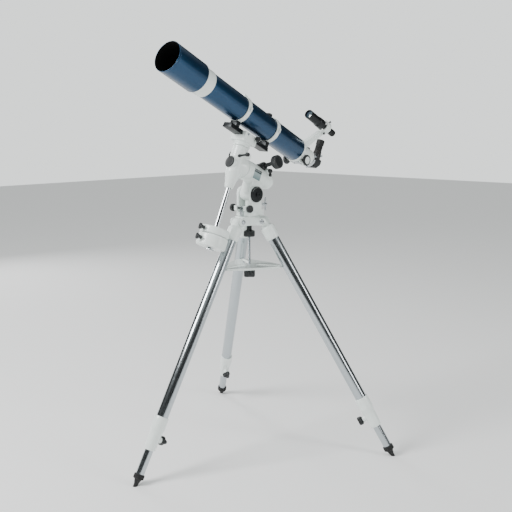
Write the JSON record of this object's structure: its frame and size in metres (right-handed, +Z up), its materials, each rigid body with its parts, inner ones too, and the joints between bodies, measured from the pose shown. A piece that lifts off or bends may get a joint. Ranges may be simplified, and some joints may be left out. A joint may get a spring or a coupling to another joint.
{
  "type": "refracting telescope on equatorial mount and tripod",
  "caption": "Refracting telescope with finder and star diagonal on a German equatorial mount and a tubular steel tripod.",
  "frame": {"origin": "centre of the bounding box at the ground, under the tripod", "axes": "+Z up, the objective end towards -Y and raised, the mount knobs towards +X"},
  "size_m": [1.0318, 1.1286, 1.5758],
  "materials": {
    "white_paint": "gloss",
    "blue_paint": "gloss",
    "leg_steel": "satin",
    "bright_steel": "polished",
    "cast_weight": "gloss",
    "black_plastic": "satin",
    "black_metal": "satin",
    "foot_rubber": "matte",
    "coated_glass": "polished"
  },
  "bodies": {
    "root": {"tripod_hub": "white_paint", "leg_1_pivot_bolt": "bright_steel", "leg_2_pivot_bolt": "bright_steel", "leg_3_pivot_bolt": "bright_steel"},
    "rod": {"center_rod": "black_plastic"},
    "spreader_nut": {"spreader_knob": "black_plastic"},
    "tray": {"spreader": "white_paint"},
    "azimuth": {"azimuth_base": "white_paint", "latitude_pin": "black_metal"},
    "azimuth_screw_east": {"azimuth_knob_east": "black_plastic"},
    "azimuth_screw_west": {"azimuth_knob_west": "black_plastic"},
    "latitude_screw": {"latitude_bolt": "bright_steel"},
    "polar": {"polar_housing": "white_paint"},
    "ra_worm": {"ra_knob": "black_plastic"},
    "ra_lock": {"ra_lock_lever": "black_plastic"},
    "ra": {"ra_shaft": "bright_steel", "dec_housing": "white_paint", "polar_cap": "black_plastic", "counterweight_shaft": "bright_steel", "safety_screw": "bright_steel"},
    "dec_worm": {"dec_knob": "black_plastic"},
    "dec_lock": {"dec_lock_lever": "black_plastic"},
    "weight_low": {"weight_lower": "cast_weight"},
    "weight_high": {"weight_upper": "cast_weight"},
    "weight_low_screw": {"weight_lower_knob": "black_plastic"},
    "weight_high_screw": {"weight_upper_knob": "black_plastic"},
    "dec": {"saddle": "white_paint", "dovetail_bar": "black_metal", "ring_front": "white_paint", "ring_rear": "white_paint", "main_tube": "blue_paint", "lens_cell": "white_paint", "objective_lens": "coated_glass", "dew_shield": "blue_paint", "focuser_body": "white_paint", "finder": "black_plastic", "finder_bracket": "white_paint"},
    "saddle_screw": {"saddle_knob": "black_plastic"},
    "draw": {"drawtube": "white_paint"},
    "focus": {"focus_knobs": "black_plastic"},
    "star_diagonal": {"diagonal": "black_plastic", "eyepiece": "black_plastic"},
    "leg_1": {"leg_1_sleeve": "white_paint", "leg_1_upper_tube": "leg_steel", "leg_1_bracket": "white_paint"},
    "leg_1_slide": {"leg_1_lower_tube": "leg_steel", "leg_1_foot": "foot_rubber"},
    "leg_1_clamp": {"leg_1_clamp_knob": "black_plastic"},
    "leg_2": {"leg_2_sleeve": "white_paint", "leg_2_upper_tube": "leg_steel", "leg_2_bracket": "white_paint"},
    "leg_2_slide": {"leg_2_lower_tube": "leg_steel", "leg_2_foot": "foot_rubber"},
    "leg_2_clamp": {"leg_2_clamp_knob": "black_plastic"},
    "leg_3": {"leg_3_sleeve": "white_paint", "leg_3_upper_tube": "leg_steel", "leg_3_bracket": "white_paint"},
    "leg_3_slide": {"leg_3_lower_tube": "leg_steel", "leg_3_foot": "foot_rubber"},
    "leg_3_clamp": {"leg_3_clamp_knob": "black_plastic"}
  },
  "joints": [
    {"name": "leg_1_fold", "type": "hinge", "parent": "root", "child": "leg_1", "pos_m": [0, -0.02968, 0.92004], "axis": [1, 0, 0], "range_deg": [0, 20]},
    {"name": "leg_1_extend", "type": "slide", "parent": "leg_1", "child": "leg_1_slide", "axis": [0, -0.4959, -0.8684], "range_m": [-0.085, 0.32]},
    {"name": "leg_1_clamp_turn", "type": "hinge", "parent": "leg_1", "child": "leg_1_clamp", "pos_m": [0, -0.43458, 0.13845], "axis": [0, 0.8684, -0.4959], "continuous": true},
    {"name": "leg_2_fold", "type": "hinge", "parent": "root", "child": "leg_2", "pos_m": [0.05196, 0.06032, 0.92004], "axis": [-0.5, 0.866, 0], "range_deg": [0, 20]},
    {"name": "leg_2_extend", "type": "slide", "parent": "leg_2", "child": "leg_2_slide", "axis": [0.4295, 0.248, -0.8684], "range_m": [-0.085, 0.32]},
    {"name": "leg_2_clamp_turn", "type": "hinge", "parent": "leg_2", "child": "leg_2_clamp", "pos_m": [0.40261, 0.26276, 0.13845], "axis": [-0.752, -0.4342, -0.4959], "continuous": true},
    {"name": "leg_3_fold", "type": "hinge", "parent": "root", "child": "leg_3", "pos_m": [-0.05196, 0.06032, 0.92004], "axis": [-0.5, -0.866, 0], "range_deg": [0, 20]},
    {"name": "leg_3_extend", "type": "slide", "parent": "leg_3", "child": "leg_3_slide", "axis": [-0.4295, 0.248, -0.8684], "range_m": [-0.085, 0.32]},
    {"name": "leg_3_clamp_turn", "type": "hinge", "parent": "leg_3", "child": "leg_3_clamp", "pos_m": [-0.40261, 0.26276, 0.13845], "axis": [0.752, -0.4342, -0.4959], "continuous": true},
    {"name": "center_rod_turn", "type": "hinge", "parent": "root", "child": "rod", "pos_m": [0, 0.03032, 0.88004], "axis": [0, 0, 1], "continuous": true},
    {"name": "spreader_lower", "type": "slide", "parent": "root", "child": "spreader_nut", "axis": [0, 0, -1], "range_m": [0, 0.165]},
    {"name": "spreader_turn", "type": "hinge", "parent": "spreader_nut", "child": "tray", "pos_m": [0, 0.03032, 0.74404], "axis": [0, 0, 1], "range_deg": [0, 60]},
    {"name": "azimuth_turn", "type": "hinge", "parent": "root", "child": "azimuth", "pos_m": [0, 0.03032, 0.94004], "axis": [0, 0, 1], "range_deg": [-6, 6]},
    {"name": "azimuth_screw_east_turn", "type": "hinge", "parent": "azimuth", "child": "azimuth_screw_east", "pos_m": [0.042, -0.01168, 0.97204], "axis": [1, 0, 0], "continuous": true},
    {"name": "azimuth_screw_west_turn", "type": "hinge", "parent": "azimuth", "child": "azimuth_screw_west", "pos_m": [-0.042, -0.01168, 0.97204], "axis": [-1, 0, 0], "continuous": true},
    {"name": "latitude_screw_turn", "type": "hinge", "parent": "azimuth", "child": "latitude_screw", "pos_m": [0, 0.12132, 0.97904], "axis": [0, 1, 0], "continuous": true},
    {"name": "latitude_tilt", "type": "hinge", "parent": "azimuth", "child": "polar", "pos_m": [0, 0.03032, 1.02604], "axis": [-1, 0, 0], "range_deg": [0, 17]},
    {"name": "ra_slow_motion", "type": "hinge", "parent": "polar", "child": "ra_worm", "pos_m": [0.07699, 0.09423, 1.14698], "axis": [0.9622, 0.1106, 0.2488], "continuous": true},
    {"name": "ra_lock_turn", "type": "hinge", "parent": "polar", "child": "ra_lock", "pos_m": [0.041, 0.10267, 1.11426], "axis": [1, 0, 0], "range_deg": [-30, 30]},
    {"name": "ra_turn", "type": "hinge", "parent": "polar", "child": "ra", "pos_m": [0, -0.04008, 1.14268], "axis": [0, -0.9138, 0.4061], "range_deg": [-35, 105]},
    {"name": "dec_slow_motion", "type": "hinge", "parent": "ra", "child": "dec_worm", "pos_m": [-0.052, 0.00601, 1.17253], "axis": [-1, 0, 0], "continuous": true},
    {"name": "dec_lock_turn", "type": "hinge", "parent": "ra", "child": "dec_lock", "pos_m": [0.034, -0.01409, 1.18147], "axis": [1, 0, 0], "range_deg": [-30, 30]},
    {"name": "dec_turn", "type": "hinge", "parent": "ra", "child": "dec", "pos_m": [0, -0.01085, 1.20848], "axis": [0, 0.4061, 0.9138], "range_deg": [-120, 120]},
    {"name": "saddle_screw_turn", "type": "hinge", "parent": "dec", "child": "saddle_screw", "pos_m": [0.03667, 0.03491, 1.23837], "axis": [0.9926, 0.1109, -0.0493], "continuous": true},
    {"name": "weight_lower_slide", "type": "slide", "parent": "ra", "child": "weight_low", "axis": [0, 0.4061, 0.9138], "range_m": [0, 0.07]},
    {"name": "weight_upper_slide", "type": "slide", "parent": "weight_low", "child": "weight_high", "axis": [0, 0.4061, 0.9138], "range_m": [0, 0.075]},
    {"name": "weight_lower_screw_turn", "type": "hinge", "parent": "weight_low", "child": "weight_low_screw", "pos_m": [0, -0.22954, 0.88381], "axis": [0, -0.9138, 0.4061], "continuous": true},
    {"name": "weight_upper_screw_turn", "type": "hinge", "parent": "weight_high", "child": "weight_high_screw", "pos_m": [0, -0.2137, 0.91945], "axis": [0, -0.9138, 0.4061], "continuous": true},
    {"name": "focus_travel", "type": "slide", "parent": "dec", "child": "draw", "axis": [-0.1213, 0.9071, -0.4031], "range_m": [-0.008, 0.09]},
    {"name": "focus_knob_turn", "type": "hinge", "parent": "dec", "child": "focus", "pos_m": [-0.04393, 0.35557, 1.14818], "axis": [0.9926, 0.1109, -0.0493], "range_deg": [-925, 85]},
    {"name": "diagonal_turn", "type": "hinge", "parent": "draw", "child": "star_diagonal", "pos_m": [-0.05509, 0.45242, 1.14125], "axis": [-0.1213, 0.9071, -0.4031], "continuous": true}
  ],
  "couplings": [
    {"joint": "leg_2_fold", "follows": "leg_1_fold", "ratio": 1},
    {"joint": "leg_3_fold", "follows": "leg_1_fold", "ratio": 1},
    {"joint": "spreader_lower", "follows": "leg_1_fold", "m_per_rad": 0.46983},
    {"joint": "spreader_turn", "follows": "leg_1_fold", "ratio": 3},
    {"joint": "focus_knob_turn", "follows": "focus_travel", "rad_per_m": -178.57}
  ]
}
